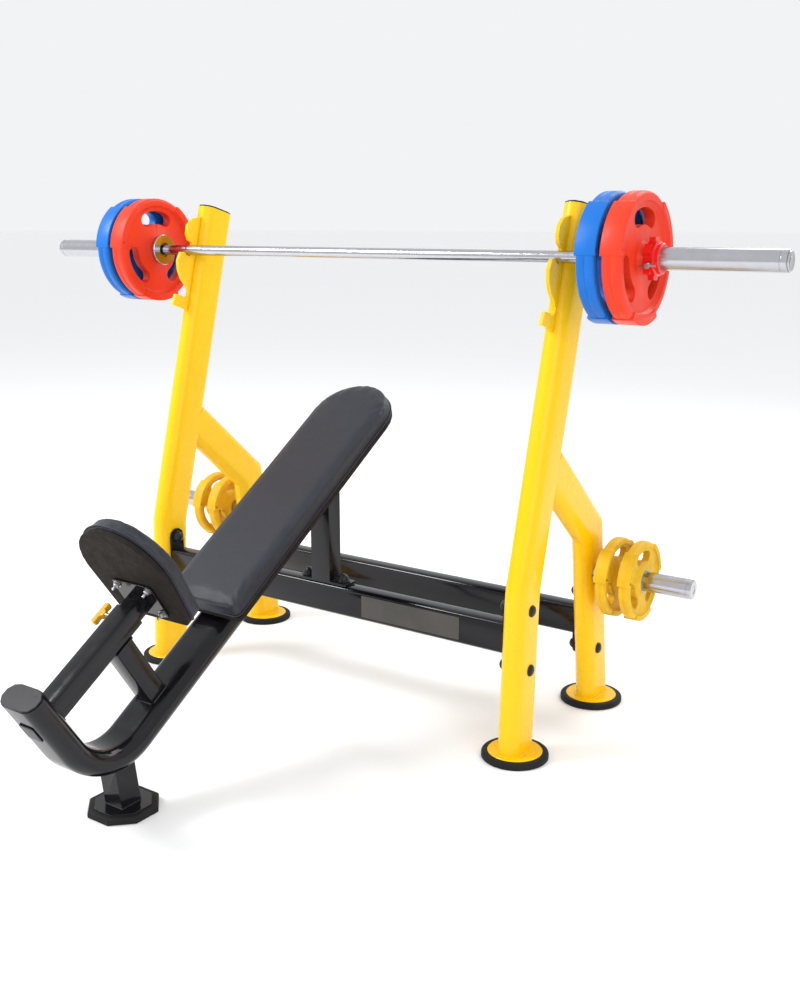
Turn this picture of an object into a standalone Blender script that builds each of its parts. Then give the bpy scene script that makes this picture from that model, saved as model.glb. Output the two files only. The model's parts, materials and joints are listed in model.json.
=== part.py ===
"""Incline olympic bench press: a welded frame, two cushions, a telescoping seat, a loaded barbell and
stored plates. Metres, +Z up, X along the barbell, -Y towards the lifter's feet."""

import math

import bmesh
import bpy
from mathutils import Matrix, Vector

# Driving sizes
CENTRE_SHIFT = 0.2360         # moves the frame so that its footprint is centred on the origin
GAP = 0.0003                  # clearance between pieces that touch
TILT = math.radians(32.4)     # slope of the backrest and of everything built square to it

OVAL_HALF_FLAT = 0.025        # oval tube: two flats joined by half rounds
OVAL_RADIUS = 0.0286
OVAL_REACH = OVAL_HALF_FLAT + OVAL_RADIUS

UPRIGHT_X = 0.579
UPRIGHT_KNEE = (0.018, 0.41)
UPRIGHT_TOP = (0.252, 1.278)
REAR_FOOT_Y = 0.4186
REAR_ELBOW = (0.3535, 0.488)
BRACE_END = (0.099, 0.710)

PAD_HEIGHT = 0.010            # rubber foot
PLATE_TOP = 0.018             # steel foot plate
LEG_START = 0.014             # a leg's end, inside its foot plate
FOOT_RADIUS = 0.081
FRONT_FOOT_Y = -0.710
OCTAGON_TURN = math.pi / 8    # the front foot is eight-sided

RAIL_DEPTH, RAIL_HEIGHT, RAIL_CORNER = 0.050, 0.080, 0.012
FRONT_RAIL = (0.012, 0.2955)
REAR_RAIL = (0.3874, 0.234)
END_PLATE_THICK = 0.006
BOLT_OFFSET = 0.074           # bolts above and below a rail's centre
CAP_RADIUS = 0.0145

BAR_AXIS = (0.138, 1.170)
SHAFT_RADIUS = 0.014
SLEEVE_RADIUS = 0.025
SLEEVE_BORE = 0.0198
SLEEVE_START, SLEEVE_END = 0.670, 1.103
FLANGE_RADIUS, FLANGE_THICK = 0.042, 0.0135
BIG_PLATE = dict(radius=0.142, rim=0.044, hub=0.058, web=0.026)
BIG_PLATE_X = (0.7135, 0.7725)
COLLAR_START, COLLAR_THICK = 0.8025, 0.030
SCREW_TURN = 104              # the collar screw points forward and a little down, in degrees from +Z

HORN_AXIS = (0.369, 0.372)
HORN_END = 0.862
SMALL_PLATE = dict(radius=0.100, rim=0.030, hub=0.036, web=0.018)
SMALL_PLATE_X = (0.657, 0.720)

# Heights above (m) and places along (c) the slope
BACK_TOP, BACK_THICK, BACK_START, BACK_END, BACK_HALF = 0.596, 0.052, -0.170, 0.617, 0.112
BOARD_THICK = 0.012
SPINE_M = 0.500
SPINE_END, SPINE_BEND, SPINE_TIP_C, SPINE_TIP_M = 0.360, 0.130, -0.616, 0.795
SEAT_TUBE_M, SEAT_TUBE_HALF, SEAT_TUBE_WALL, SEAT_TUBE_END = 0.722, 0.025, 0.003, -0.325
SEAT_FACE, SEAT_THICK = -0.228, 0.052
SEAT_LOW, SEAT_HIGH, SEAT_HALF = 0.655, 0.925, 0.125
STRUT_C = -0.390
KNOB_C = -0.344

AS_YZ = Matrix(((0, 0, 1, 0), (1, 0, 0, 0), (0, 1, 0, 0), (0, 0, 0, 1)))      # drawing plane to YZ, extruded on X
AS_XZ = Matrix(((1, 0, 0, 0), (0, 0, -1, 0), (0, 1, 0, 0), (0, 0, 0, 1)))     # drawing plane to XZ, extruded on Y
ALONG_X = Matrix.Rotation(math.pi / 2, 4, "Y")                                # turned axis to +X
SLOPE = Matrix.Rotation(TILT, 4, "X")

for old in list(bpy.data.objects):
    bpy.data.objects.remove(old)
parts = bpy.data.collections.new("olympic_bench_press")
cutters = bpy.data.collections.new("cutters")
bpy.context.scene.collection.children.link(parts)
bpy.context.scene.collection.children.link(cutters)
cutters.hide_render = True
root = bpy.data.objects.new("frame_origin", None)
root.location = (0, CENTRE_SHIFT, 0)
parts.objects.link(root)


def material(name, color, roughness, metallic=0.0):
    made = bpy.data.materials.new(name)
    made.use_nodes = True
    shader = made.node_tree.nodes["Principled BSDF"]
    shader.inputs["Base Color"].default_value = (*color, 1)
    shader.inputs["Roughness"].default_value = roughness
    shader.inputs["Metallic"].default_value = metallic
    return made


YELLOW = material("yellow_paint", (0.95, 0.62, 0.01), 0.25)
BLACK = material("black_paint", (0.010, 0.010, 0.012), 0.18)
CHROME = material("chrome", (0.80, 0.80, 0.82), 0.12, 1.0)
ZINC = material("zinc", (0.55, 0.55, 0.56), 0.35, 1.0)
VINYL = material("black_vinyl", (0.030, 0.033, 0.045), 0.42)
BOARD = material("black_board", (0.022, 0.017, 0.014), 0.75)
RUBBER = material("black_rubber", (0.015, 0.015, 0.016), 0.70)
PLASTIC = material("black_plastic", (0.020, 0.020, 0.022), 0.35)
KNOB = material("yellow_plastic", (0.90, 0.52, 0.02), 0.35)
RED = material("red_urethane", (0.80, 0.045, 0.015), 0.40)
BLUE = material("blue_urethane", (0.005, 0.16, 0.62), 0.40)
AMBER = material("amber_urethane", (0.72, 0.46, 0.02), 0.50)
COLLAR = material("red_collar", (0.75, 0.012, 0.010), 0.28)
BRONZE = material("bronze", (0.55, 0.36, 0.16), 0.35, 1.0)


def link(obj, collection=parts):
    collection.objects.link(obj)
    return obj


def settle(mesh, name, paint, place, bevel=0.0, collection=parts):
    """Welds a mesh, turns its faces outward, shades it and links it under the origin empty."""
    work = bmesh.new()
    work.from_mesh(mesh)
    bmesh.ops.remove_doubles(work, verts=work.verts, dist=1e-6)
    bmesh.ops.recalc_face_normals(work, faces=work.faces)
    work.to_mesh(mesh)
    work.free()
    mesh.materials.clear()
    mesh.materials.append(paint)
    mesh.shade_smooth()
    mesh.set_sharp_from_angle(angle=math.radians(35))
    obj = link(bpy.data.objects.new(name, mesh), collection)
    obj.parent = root if collection is parts else None
    obj.matrix_basis = place
    if bevel:
        edge = obj.modifiers.new("soft_edges", "BEVEL")
        edge.width = bevel
        edge.segments = 1
        edge.limit_method = "ANGLE"
    if collection is cutters:
        obj.hide_render = True
        obj.display_type = "WIRE"
    return obj


def from_curve(curve, name, paint, place, bevel, collection):
    """Turns a curve into a welded mesh object."""
    source = bpy.data.objects.new(name + "_curve", curve)
    bpy.context.scene.collection.objects.link(source)
    graph = bpy.context.evaluated_depsgraph_get()
    mesh = bpy.data.meshes.new_from_object(source.evaluated_get(graph))
    bpy.data.objects.remove(source)
    mesh.name = name
    return settle(mesh, name, paint, place, bevel, collection)


def add_poly(curve, points, cyclic):
    spline = curve.splines.new("POLY")
    spline.points.add(len(points) - 1)
    for point, (u, v) in zip(spline.points, points):
        point.co = (u, v, 0, 1)
    spline.use_cyclic_u = cyclic


def prism(name, outlines, thick, place, paint, bevel=0.0, collection=parts):
    """Flat outlines, the first the outside and the others holes, extruded half each way."""
    curve = bpy.data.curves.new(name, "CURVE")
    curve.dimensions = "2D"
    curve.fill_mode = "BOTH"
    curve.extrude = thick / 2
    for outline in outlines:
        add_poly(curve, outline, True)
    return from_curve(curve, name, paint, place, bevel, collection)


def tube(name, path, section, place, paint, collection=parts):
    """Sweeps a closed section along a flat path; the section's first axis lies in the path's plane."""
    profile = bpy.data.curves.new(name + "_section", "CURVE")
    profile.dimensions = "2D"
    add_poly(profile, section, True)
    guide = bpy.data.objects.new(name + "_section", profile)
    cutters.objects.link(guide)
    curve = bpy.data.curves.new(name, "CURVE")
    curve.dimensions = "2D"
    curve.bevel_mode = "OBJECT"
    curve.bevel_object = guide
    curve.use_fill_caps = True
    add_poly(curve, path, False)
    made = from_curve(curve, name, paint, place, 0.0, collection)
    bpy.data.objects.remove(guide)
    return made


def turned(name, profile, place, paint, steps=20, closed=False, collection=parts):
    """Turns a profile of (radius, height) points about its own Z, top to bottom down the outside."""
    mesh = bpy.data.meshes.new(name)
    count = len(profile)
    edges = [(i, (i + 1) % count) for i in range(count if closed else count - 1)]
    mesh.from_pydata([(r, 0, h) for r, h in profile], edges, [])
    source = bpy.data.objects.new(name + "_turning", mesh)
    bpy.context.scene.collection.objects.link(source)
    screw = source.modifiers.new("turn", "SCREW")
    screw.steps = steps
    screw.render_steps = steps
    screw.use_merge_vertices = True
    screw.merge_threshold = 0.00001
    graph = bpy.context.evaluated_depsgraph_get()
    solid = bpy.data.meshes.new_from_object(source.evaluated_get(graph))
    bpy.data.objects.remove(source)
    return settle(solid, name, paint, place, 0.0, collection)


def combine(obj, other, operation):
    """Cuts one solid by another, or welds them, and keeps the result as a plain mesh."""
    step = obj.modifiers.new("combine", "BOOLEAN")
    step.operation = operation
    step.object = other
    bpy.context.view_layer.update()
    graph = bpy.context.evaluated_depsgraph_get()
    mesh = bpy.data.meshes.new_from_object(obj.evaluated_get(graph))
    obj.modifiers.clear()
    obj.data = mesh
    mesh.shade_smooth()
    mesh.set_sharp_from_angle(angle=math.radians(35))


def apply_cut(obj, cutter):
    combine(obj, cutter, "DIFFERENCE")


def weld(obj, pieces):
    """Joins overlapping pieces to a solid by Boolean union."""
    for piece in pieces:
        combine(obj, piece, "UNION")
        bpy.data.objects.remove(piece)


def arc(cu, cv, radius, start, end, steps):
    """Points on an arc, angles in degrees."""
    turns = [math.radians(start + (end - start) * i / steps) for i in range(steps + 1)]
    return [(cu + radius * math.cos(t), cv + radius * math.sin(t)) for t in turns]


def stadium(half_flat, radius, steps=5):
    """Oval with its long way along the first axis."""
    return arc(half_flat, 0, radius, -90, 90, steps) + arc(-half_flat, 0, radius, 90, 270, steps)


def rounded_rect(half_u, half_v, corner, steps=3):
    points = []
    for su, sv, start in ((1, 1, 0), (-1, 1, 90), (-1, -1, 180), (1, -1, 270)):
        points += arc(su * (half_u - corner), sv * (half_v - corner), corner, start, start + 90, steps)
    return points


def fillet(before, corner, after, radius, steps=5):
    """Points that round a path's corner."""
    corner_at = Vector(corner)
    back = (Vector(before) - corner_at).normalized()
    ahead = (Vector(after) - corner_at).normalized()
    half = back.angle(ahead) / 2
    reach = radius / math.tan(half)
    first, last = corner_at + back * reach, corner_at + ahead * reach
    centre = corner_at + (back + ahead).normalized() * (radius / math.sin(half))
    points = []
    for i in range(steps + 1):
        spoke = (first - centre).lerp(last - centre, i / steps).normalized() * radius
        points.append(tuple(centre + spoke))
    return points


def at(x=0.0, y=0.0, z=0.0):
    return Matrix.Translation((x, y, z))


def on_slope(x=0.0, c=0.0, m=0.0):
    """Place at x, c along the slope and m square to it, with axes turned to the slope."""
    return SLOPE @ Matrix.Translation((x, c, m))


def upright_y(z):
    """Centre line of a main upright above its knee."""
    rise = (z - UPRIGHT_KNEE[1]) / (UPRIGHT_TOP[1] - UPRIGHT_KNEE[1])
    return UPRIGHT_KNEE[0] + rise * (UPRIGHT_TOP[0] - UPRIGHT_KNEE[0])


def upright_front(z):
    """Front edge of a main upright above its knee."""
    run, rise = UPRIGHT_TOP[0] - UPRIGHT_KNEE[0], UPRIGHT_TOP[1] - UPRIGHT_KNEE[1]
    return upright_y(z) - OVAL_REACH * math.hypot(run, rise) / rise


def foot_plate(x, y, paint, steps=20, turn=0.0):
    """Steel disc under a leg, which the leg's foot is welded into."""
    inner = FOOT_RADIUS - 0.015
    disc = [(0, PLATE_TOP), (inner, PLATE_TOP), (inner, PAD_HEIGHT + GAP), (0, PAD_HEIGHT + GAP)]
    return turned("foot_plate", disc, at(x, y) @ Matrix.Rotation(turn, 4, "Z"), paint, steps)


def upright_path():
    start = (0.0, LEG_START)
    level = (0.0, 0.028)
    return [start, level] + fillet(level, UPRIGHT_KNEE, UPRIGHT_TOP, 0.15) + [UPRIGHT_TOP]


def make_uprights(side, hand):
    """Main upright, its end plug, and the rear leg whose brace is coped to the upright."""
    section = stadium(OVAL_HALF_FLAT, OVAL_RADIUS)
    place = at(hand * UPRIGHT_X) @ AS_YZ
    upright = tube("upright_" + side, upright_path(), section, place, YELLOW)
    weld(upright, [foot_plate(hand * UPRIGHT_X, 0, YELLOW)])
    lean = math.atan2(UPRIGHT_TOP[0] - UPRIGHT_KNEE[0], UPRIGHT_TOP[1] - UPRIGHT_KNEE[1])
    plug_place = at(hand * UPRIGHT_X, *UPRIGHT_TOP) @ Matrix.Rotation(-lean, 4, "X")
    lid = stadium(OVAL_HALF_FLAT, OVAL_RADIUS - 0.0005)
    turned_lid = [(v, u) for u, v in lid]
    prism("upright_plug_" + side, [turned_lid], 0.004, plug_place @ at(z=0.002 + GAP), PLASTIC, 0.001)
    start, level = (REAR_FOOT_Y, LEG_START), (REAR_FOOT_Y, 0.028)
    path = [start, level, REAR_ELBOW, BRACE_END]
    leg = tube("rear_leg_" + side, path, section, place, YELLOW)
    grown = stadium(OVAL_HALF_FLAT, OVAL_RADIUS + GAP)
    cope = tube("cope_" + side, upright_path(), grown, at(hand * UPRIGHT_X, CENTRE_SHIFT) @ AS_YZ, YELLOW, cutters)
    apply_cut(leg, cope)
    weld(leg, [foot_plate(hand * UPRIGHT_X, REAR_FOOT_Y, YELLOW)])


def hook_outline():
    """Side view of the hook plate: a guard lobe, the bar's cradle, and a lower safety hook."""
    bar_y, bar_z = BAR_AXIS
    back = GAP + 0.0001
    cradle = arc(bar_y, bar_z, SHAFT_RADIUS + 0.001, 200, 360, 8)
    lower = arc(0.116, 1.054, 0.014, 215, 360, 6)
    outline = [(upright_front(1.003) - back, 1.003), (0.066, 1.023), (0.080, 1.052)]
    outline += lower
    outline += [(0.122, 1.072), (0.105, 1.092), (0.095, 1.118), (0.094, 1.143), (0.107, 1.166)]
    outline += cradle
    outline += [(bar_y + 0.013, 1.190), (0.138, 1.199), (0.133, 1.216), (0.138, 1.238), (0.157, 1.256)]
    outline += [(upright_front(1.262) - back, 1.262)]
    return outline


def make_feet():
    """Five rubber cups, one under each foot plate."""
    inner = FOOT_RADIUS - 0.015
    cup = [(0, PAD_HEIGHT), (inner + GAP, PAD_HEIGHT), (inner + GAP, 0.016), (FOOT_RADIUS - 0.004, 0.016),
           (FOOT_RADIUS, 0.010), (FOOT_RADIUS, 0), (0, 0)]
    for side, hand in (("left", -1), ("right", 1)):
        turned("main_foot_" + side, cup, at(hand * UPRIGHT_X), RUBBER, 20)
        turned("rear_foot_" + side, cup, at(hand * UPRIGHT_X, REAR_FOOT_Y), RUBBER, 20)
    turned("front_foot", cup, at(y=FRONT_FOOT_Y) @ Matrix.Rotation(OCTAGON_TURN, 4, "Z"), RUBBER, 8)


def make_rails():
    """Two cross rails with welded end plates, and the capped bolts that hold them to the legs."""
    inner_face = UPRIGHT_X - OVAL_RADIUS - GAP
    plate_x = inner_face - END_PLATE_THICK / 2
    section = rounded_rect(RAIL_DEPTH / 2, RAIL_HEIGHT / 2, RAIL_CORNER)
    plate = [(v, u) for u, v in stadium(BOLT_OFFSET - 0.001, OVAL_HALF_FLAT - 0.001)]
    dome = [(0, 0.008), (0.006, 0.0074), (0.010, 0.005), (CAP_RADIUS, 0), (0, 0)]
    caps = (("front", FRONT_RAIL, "low", -1), ("front", FRONT_RAIL, "high", 1), ("rear", REAR_RAIL, "low", -1))
    for name, (y, z) in (("front_rail", FRONT_RAIL), ("rear_rail", REAR_RAIL)):
        rail = prism(name, [section], 2 * plate_x, at(0, y, z) @ AS_YZ, BLACK)
        ends = [prism("end_plate", [plate], END_PLATE_THICK, at(s * plate_x, y, z) @ AS_YZ, BLACK) for s in (-1, 1)]
        weld(rail, ends)
    for side, hand in (("left", -1), ("right", 1)):
        for name, (y, z), height, lift in caps:
            out = at(hand * (UPRIGHT_X + OVAL_RADIUS + GAP), y, z + lift * BOLT_OFFSET)
            turned(f"bolt_cap_{name}_{height}_{side}", dome, out @ Matrix.Rotation(hand * math.pi / 2, 4, "Y"),
                   PLASTIC, 16)


def make_post():
    """Post between the front rail and the spine, welded to its base plate."""
    y, z = FRONT_RAIL
    base_z = z + RAIL_HEIGHT / 2 + GAP
    foot, half = base_z + 0.003, 0.0235

    def under_spine(at_y):
        return (SPINE_M - OVAL_RADIUS - 2 * GAP + math.sin(TILT) * at_y) / math.cos(TILT)

    side = [(y - half, foot), (y + half, foot), (y + half, under_spine(y + half)), (y - half, under_spine(y - half))]
    post = prism("support_post", [side], 0.060, at() @ AS_YZ, BLACK)
    base = prism("post_base", [rounded_rect(0.080, 0.024, 0.008)], 0.006, at(0, y, base_z + 0.003), BLACK)
    weld(post, [base])


def make_spine():
    """J-shaped oval beam under the backrest, its plugs, and the front leg coped to it."""
    flat_section = [(v, u) for u, v in stadium(OVAL_HALF_FLAT, OVAL_RADIUS)]
    bend = arc(SPINE_TIP_C + SPINE_BEND, SPINE_M + SPINE_BEND, SPINE_BEND, 270, 180, 9)
    path = [(SPINE_END, SPINE_M)] + bend + [(SPINE_TIP_C, SPINE_TIP_M)]
    tube("spine_beam", path, flat_section, SLOPE @ AS_YZ, BLACK)
    lid = stadium(OVAL_HALF_FLAT, OVAL_RADIUS - 0.0005)
    prism("spine_tip_plug", [lid], 0.004, on_slope(0, SPINE_TIP_C, SPINE_TIP_M + 0.002 + GAP), PLASTIC, 0.001)
    prism("spine_end_plug", [lid], 0.004, on_slope(0, SPINE_END + 0.002 + GAP, SPINE_M) @ AS_XZ, PLASTIC, 0.001)
    foot = LEG_START
    side = [(FRONT_FOOT_Y - 0.0275, foot), (FRONT_FOOT_Y + 0.0275, foot),
            (FRONT_FOOT_Y + 0.0105, 0.150), (FRONT_FOOT_Y - 0.0445, 0.150)]
    leg = prism("front_leg", [side], 0.055, at() @ AS_YZ, BLACK)
    grown = [(v, u) for u, v in stadium(OVAL_HALF_FLAT, OVAL_RADIUS + GAP)]
    cope = tube("cope_front", path, grown, at(y=CENTRE_SHIFT) @ SLOPE @ AS_YZ, BLACK, cutters)
    apply_cut(leg, cope)
    weld(leg, [foot_plate(0, FRONT_FOOT_Y, BLACK, 8, OCTAGON_TURN)])


def make_back():
    """Backrest cushion on its board, with two cross brackets on the spine."""
    def outline(inset):
        half = BACK_HALF - inset
        low, crown = BACK_START + inset, BACK_END - BACK_HALF
        corner = 0.012
        points = arc(-half + corner, low + corner, corner, 180, 270, 3)
        points += arc(half - corner, low + corner, corner, 270, 360, 3)
        return points + arc(0, crown, half, 0, 180, 14)

    prism("back_cushion", [outline(0.0)], BACK_THICK - BOARD_THICK, on_slope(m=BACK_TOP - 0.020), VINYL, 0.006)
    board_m = BACK_TOP - BACK_THICK + BOARD_THICK / 2 - GAP
    prism("back_board", [outline(0.003)], BOARD_THICK - GAP, on_slope(m=board_m), BOARD)
    low = SPINE_M + OVAL_RADIUS + GAP
    high = board_m - (BOARD_THICK - GAP) / 2 - GAP
    for name, c in (("low", -0.120), ("high", 0.300)):
        spot = on_slope(0, c, (low + high) / 2)
        prism("back_bracket_" + name, [rounded_rect(0.075, 0.025, 0.006)], high - low, spot, BLACK)


def make_seat():
    """Fixed seat tube and strut, and the sliding seat with its post, plate, bolts, board and cushion."""
    inner_face = SPINE_TIP_C + OVAL_RADIUS + GAP
    outer = rounded_rect(SEAT_TUBE_HALF, SEAT_TUBE_HALF, 0.004, 2)
    bore_half = SEAT_TUBE_HALF - SEAT_TUBE_WALL
    bore = rounded_rect(bore_half, bore_half, 0.002, 1)
    middle = (inner_face + SEAT_TUBE_END) / 2
    knob_hole = turned("knob_hole", [(0, 0.02), (0.0055, 0.02), (0.0055, -0.02), (0, -0.02)],
                       at(y=CENTRE_SHIFT) @ on_slope(-SEAT_TUBE_HALF, KNOB_C, SEAT_TUBE_M) @ ALONG_X,
                       BLACK, 12, False, cutters)
    sleeve = prism("seat_tube", [outer, bore], SEAT_TUBE_END - inner_face,
                   on_slope(0, middle, SEAT_TUBE_M) @ AS_XZ, BLACK)
    apply_cut(sleeve, knob_hole)
    outer_face = SPINE_TIP_C - OVAL_RADIUS - GAP - 0.0015
    prism("seat_tube_plug", [rounded_rect(0.022, 0.022, 0.004, 2)], 0.003,
          on_slope(0, outer_face, SEAT_TUBE_M) @ AS_XZ, PLASTIC, 0.0008)
    low = SPINE_M + OVAL_RADIUS + GAP
    high = SEAT_TUBE_M - SEAT_TUBE_HALF - GAP
    prism("seat_strut", [rounded_rect(0.025, 0.025, 0.004, 2)], high - low,
          on_slope(0, STRUT_C, (low + high) / 2), BLACK)

    pad_back = SEAT_FACE - SEAT_THICK + BOARD_THICK
    board_back = SEAT_FACE - SEAT_THICK
    plate_back = board_back - GAP - 0.005
    post_half = bore_half - 0.001
    post_end = plate_back - GAP
    post_start = -0.530
    prism("seat_post", [rounded_rect(post_half, post_half, 0.003, 2)], post_end - post_start,
          on_slope(0, (post_end + post_start) / 2, SEAT_TUBE_M) @ AS_XZ, BLACK)

    def outline(inset):
        crown, half = SEAT_HIGH - SEAT_HALF, SEAT_HALF - inset
        corner, low_half = 0.015, SEAT_HALF - 0.015 - inset
        points = arc(-low_half + corner, SEAT_LOW + inset + corner, corner, 185, 270, 3)
        points += arc(low_half - corner, SEAT_LOW + inset + corner, corner, 270, 355, 3)
        return points + arc(0, crown, half, 0, 180, 14)

    thick = SEAT_FACE - pad_back
    prism("seat_cushion", [outline(0.0)], thick, on_slope(0, SEAT_FACE - thick / 2) @ AS_XZ, VINYL, 0.006)
    board = BOARD_THICK - GAP
    prism("seat_board", [outline(0.003)], board, on_slope(0, board_back + board / 2) @ AS_XZ, BOARD)
    spot = on_slope(0, plate_back + 0.0025, SEAT_TUBE_M + 0.004) @ AS_XZ
    prism("seat_plate", [rounded_rect(0.060, 0.048, 0.010)], 0.005, spot, BLACK)


def make_knob():
    """T-handled clamp screw on the side of the seat tube."""
    out = on_slope(-bore_reach(), KNOB_C, SEAT_TUBE_M) @ Matrix.Rotation(-math.pi / 2, 4, "Y")
    stem = [(0, 0.036), (0.005, 0.036), (0.005, 0.012), (0.008, 0.012), (0.008, 0.0041), (0.005, 0.0041),
            (0.005, 0), (0, 0)]
    turned("lock_screw", stem, out, ZINC, 12)
    tee = [(-0.028, 0.0), (-0.024, -0.004), (-0.010, -0.002), (-0.007, -0.010), (0.007, -0.010), (0.010, -0.002),
           (0.024, -0.004), (0.028, 0.0), (0.027, 0.010), (-0.027, 0.010)]
    spot = out @ at(z=0.036 + 0.010 + GAP)
    prism("lock_knob", [tee], 0.014, spot @ Matrix.Rotation(math.pi / 2, 4, "Z") @ AS_XZ, KNOB, 0.0015)


def bore_reach():
    """From the seat tube's centre to just clear of the seat post's side."""
    return SEAT_TUBE_HALF - SEAT_TUBE_WALL - 0.001 + GAP


def plate_mesh(name, radius, rim, hub, web, bore, paint):
    """Grip plate: thick rim, thinner web with three hand holes, and a thick hub."""
    rim_in, hub_out = radius * 0.86, radius * 0.30
    half = [(bore, hub / 2), (hub_out, web / 2), (rim_in - 0.006, web / 2), (rim_in, rim / 2),
            (radius - 0.007, rim / 2), (radius, rim / 2 - 0.009)]
    profile = half + [(r, -h) for r, h in reversed(half)]
    plate = turned(name, profile, at(y=5), paint, 24, True)
    inner, outer, spread = radius * 0.50, radius * 0.76, 24
    corner = (outer - inner) / 2
    middle = (outer + inner) / 2
    for turn in (90, 210, 330):
        first, last = math.radians(turn - spread), math.radians(turn + spread)
        slot = arc(0, 0, outer, turn - spread, turn + spread, 4)
        slot += arc(middle * math.cos(last), middle * math.sin(last), corner, turn + spread + 30,
                    turn + spread + 150, 2)
        slot += arc(0, 0, inner, turn + spread, turn - spread, 3)
        slot += arc(middle * math.cos(first), middle * math.sin(first), corner, turn - spread - 150,
                    turn - spread - 30, 2)
        grip = prism(f"grip_{turn}", [slot], 0.1, at(y=5 + CENTRE_SHIFT), paint, 0.0, cutters)
        apply_cut(plate, grip)
        bpy.data.objects.remove(grip)
    mesh = plate.data
    bpy.data.objects.remove(plate)
    mesh.name = name
    return mesh


def put_plate(name, mesh, x, y, z, paint):
    """A copy of a plate's mesh in its own colour, with its top hand hole upwards."""
    copy = mesh.copy()
    copy.materials.clear()
    copy.materials.append(paint)
    obj = link(bpy.data.objects.new(name, copy))
    obj.parent = root
    obj.matrix_basis = at(x, y, z) @ AS_YZ
    return obj


def ring(inner, outer, low, high):
    """Closed profile of a ring."""
    return [(inner, high), (outer, high), (outer, low), (inner, low)]


def make_barbell(big):
    """Shaft and bushings, and on each side a turning sleeve with plates, a star collar and its screw."""
    y, z = BAR_AXIS
    reach = SLEEVE_END - 0.022
    turned("bar_shaft", [(0, reach), (SHAFT_RADIUS, reach), (SHAFT_RADIUS, -reach), (0, -reach)],
           at(0, y, z) @ ALONG_X, CHROME, 24)
    bush = ring(SHAFT_RADIUS + GAP, SLEEVE_BORE - GAP, 0, 0.040)
    spots = [at(s * (SLEEVE_START + 0.010), y, z) @ Matrix.Rotation(s * math.pi / 2, 4, "Y") for s in (-1, 1)]
    for name, spot in zip(("sleeve_bushing_left", "sleeve_bushing_right"), spots):
        turned(name, bush, spot, BRONZE, 20, True)
    for side, hand, inner_paint, outer_paint in (("left", -1, RED, BLUE), ("right", 1, BLUE, RED)):
        out = at(0, y, z) @ Matrix.Rotation(hand * math.pi / 2, 4, "Y")
        shell = [(SLEEVE_BORE, SLEEVE_END - 0.004), (SLEEVE_RADIUS - 0.003, SLEEVE_END - 0.004),
                 (SLEEVE_RADIUS, SLEEVE_END - 0.007), (SLEEVE_RADIUS, SLEEVE_START + FLANGE_THICK),
                 (FLANGE_RADIUS, SLEEVE_START + FLANGE_THICK), (FLANGE_RADIUS, SLEEVE_START),
                 (SLEEVE_BORE, SLEEVE_START)]
        turned("sleeve_" + side, shell, out, CHROME, 20, True)
        plug = [(0, SLEEVE_END), (SLEEVE_RADIUS - 0.006, SLEEVE_END), (SLEEVE_RADIUS - 0.004, SLEEVE_END - 0.002),
                (SLEEVE_RADIUS - 0.004, SLEEVE_END - 0.004 + GAP), (SLEEVE_BORE - GAP, SLEEVE_END - 0.004 + GAP),
                (SLEEVE_BORE - GAP, SLEEVE_END - 0.020), (0, SLEEVE_END - 0.020)]
        turned("sleeve_cap_" + side, plug, out, CHROME, 20)
        put_plate("plate_inner_" + side, big, hand * BIG_PLATE_X[0], y, z, inner_paint)
        put_plate("plate_outer_" + side, big, hand * BIG_PLATE_X[1], y, z, outer_paint)
        make_collar(side, hand, y, z)


def make_collar(side, hand, y, z):
    """Six-lobed collar on the sleeve, with a small cross-handled screw."""
    lobes = []
    for k in range(6):
        turn = 60 * k
        lobes += arc(0, 0, 0.046, turn - 13, turn + 13, 2) + arc(0, 0, 0.038, turn + 19, turn + 41, 2)
    bore = arc(0, 0, SLEEVE_RADIUS + GAP, 0, 345, 23)
    place = at(hand * (COLLAR_START + COLLAR_THICK / 2), y, z) @ AS_YZ
    collar = prism("collar_" + side, [lobes, bore], COLLAR_THICK, place, COLLAR)
    direction = Matrix.Rotation(math.radians(SCREW_TURN), 4, "X")
    spot = at(hand * (COLLAR_START + COLLAR_THICK / 2), y, z) @ direction
    hole = [(0, 0.060), (0.0043, 0.060), (0.0043, SLEEVE_RADIUS - 0.005), (0, SLEEVE_RADIUS - 0.005)]
    cutter = turned("screw_hole_" + side, hole, at(y=CENTRE_SHIFT) @ spot, ZINC, 12, False, cutters)
    apply_cut(collar, cutter)
    low = SLEEVE_RADIUS + GAP
    stem = [(0, 0.060), (0.006, 0.060), (0.006, 0.050), (0.004, 0.050), (0.004, low), (0, low)]
    screw = turned("collar_screw_" + side, stem, spot, ZINC, 12)
    bar = turned("cross_handle", [(0, 0.019), (0.0022, 0.019), (0.0022, -0.019), (0, -0.019)],
                 spot @ at(z=0.0565) @ Matrix.Rotation(math.pi / 2, 4, "Y"), ZINC, 10)
    weld(screw, [bar])


def make_storage(small, side, hand):
    """Storage horn on the rear leg with two small plates on it."""
    y, z = HORN_AXIS
    start = UPRIGHT_X + OVAL_RADIUS + GAP
    horn = [(0, HORN_END), (SLEEVE_RADIUS - 0.003, HORN_END), (SLEEVE_RADIUS, HORN_END - 0.003),
            (SLEEVE_RADIUS, start + 0.006), (0.034, start + 0.006), (0.034, start), (0, start)]
    turned("storage_horn_" + side, horn, at(0, y, z) @ Matrix.Rotation(hand * math.pi / 2, 4, "Y"), CHROME, 20)
    put_plate("stored_inner_" + side, small, hand * SMALL_PLATE_X[0], y, z, AMBER)
    put_plate("stored_outer_" + side, small, hand * SMALL_PLATE_X[1], y, z, AMBER)


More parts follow.
